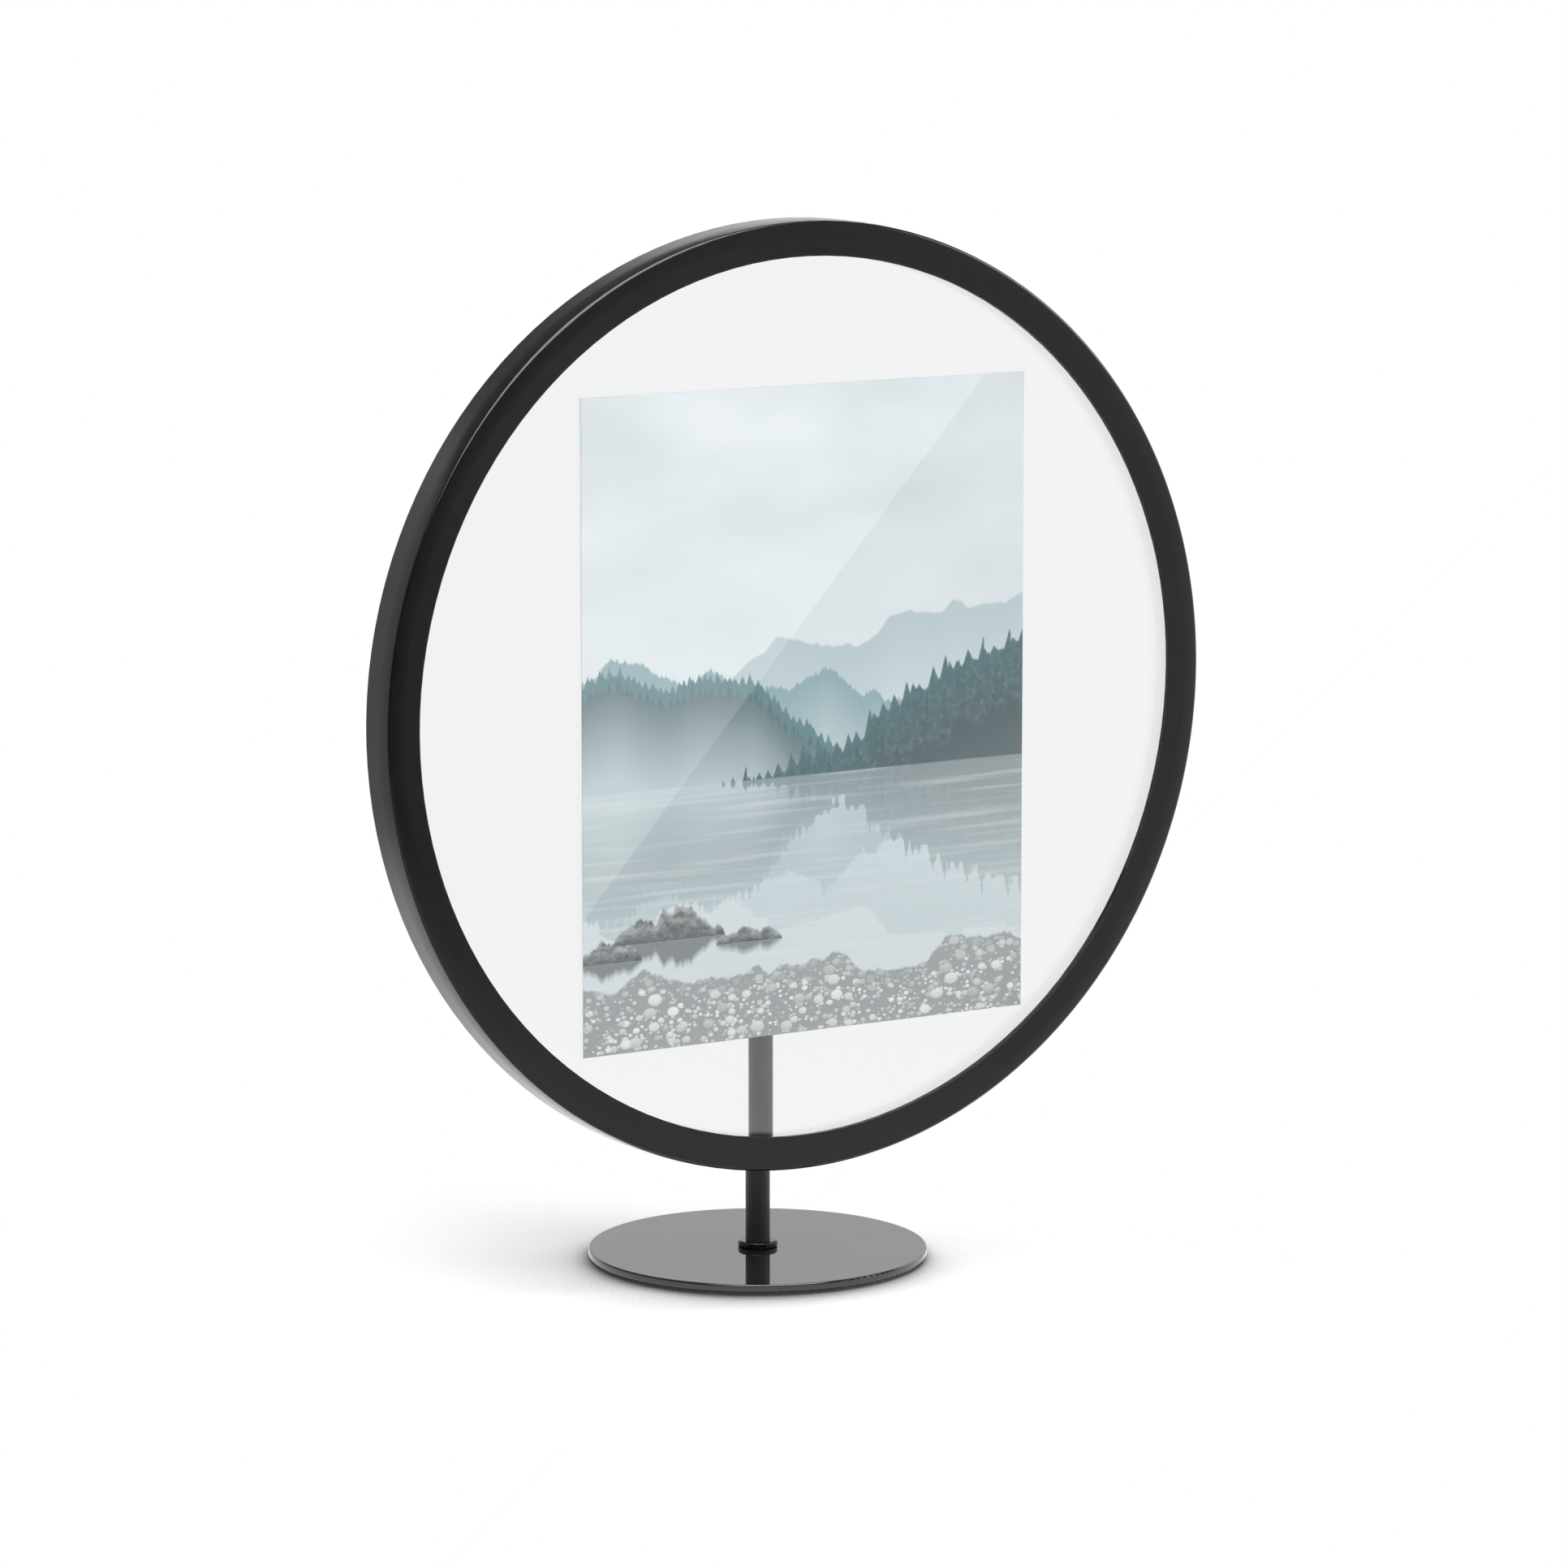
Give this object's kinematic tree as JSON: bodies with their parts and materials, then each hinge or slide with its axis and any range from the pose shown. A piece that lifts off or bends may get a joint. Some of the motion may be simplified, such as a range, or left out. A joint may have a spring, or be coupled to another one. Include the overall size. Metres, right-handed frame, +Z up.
{
  "type": "round photo frame",
  "caption": "Round desk photo frame: a slim black ring with clear panes that float a print, on a thin post and disc base, with a tilting and turning head.",
  "frame": {"origin": "centre of the base pad's underside, on the surface that the frame stands on", "axes": "+Z up along the post, -Y the way the ring faces, +X to the right as seen from the front"},
  "size_m": [0.2606, 0.0944, 0.2903],
  "materials": {
    "ring_paint": "satin black paint",
    "post_paint": "satin black paint",
    "collar_paint": "satin black paint",
    "base_gloss": "gloss black paint",
    "fitting_paint": "matt black paint",
    "spring_steel": "blackened",
    "screw_steel": "zinc plated",
    "pane_glass": "clear polished",
    "print_paper": "satin photo paper",
    "gasket_foam": "closed-cell foam",
    "strip_rubber": "smooth satin rubber",
    "pad_foam": "closed-cell foam",
    "bond_tape": "acrylic foam tape",
    "nylon": "natural nylon"
  },
  "bodies": {
    "stand": {"base_pad": "pad_foam", "base_plate": "base_gloss", "base_screw": "screw_steel", "foot_collar": "collar_paint", "post": "post_paint", "swivel_washer": "screw_steel", "swivel_screw": "screw_steel"},
    "head": {"swivel_head": "fitting_paint", "swivel_bush": "nylon", "friction_washers": "nylon"},
    "back": {"rear_glass": "pane_glass", "rear_gasket": "gasket_foam", "bond_pad": "bond_tape", "pivot_plate": "fitting_paint", "tilt_screw": "screw_steel", "tilt_nut": "screw_steel"},
    "retainer": {"retaining_ring": "spring_steel"},
    "front": {"ring_frame": "ring_paint", "front_gasket": "strip_rubber", "front_glass": "pane_glass"},
    "print": {"photo_print": "print_paper"}
  },
  "joints": [
    {"name": "swivel", "type": "hinge", "parent": "stand", "child": "head", "pos_m": [0, 0, 0.16], "axis": [0, 0, 1], "continuous": true},
    {"name": "tilt", "type": "hinge", "parent": "head", "child": "back", "pos_m": [0, -0.0105, 0.16], "axis": [-1, 0, 0], "range_deg": [-4, 25]},
    {"name": "retaining_ring_out", "type": "slide", "parent": "back", "child": "retainer", "axis": [0, 1, 0], "range_m": [0, 0.06]},
    {"name": "front_off", "type": "slide", "parent": "back", "child": "front", "axis": [0, -1, 0], "range_m": [0, 0.09]},
    {"name": "print_out", "type": "slide", "parent": "back", "child": "print", "axis": [0, -1, 0], "range_m": [0, 0.045]}
  ],
  "couplings": [
    {"joint": "print_out", "follows": "front_off", "ratio": 0.5}
  ]
}
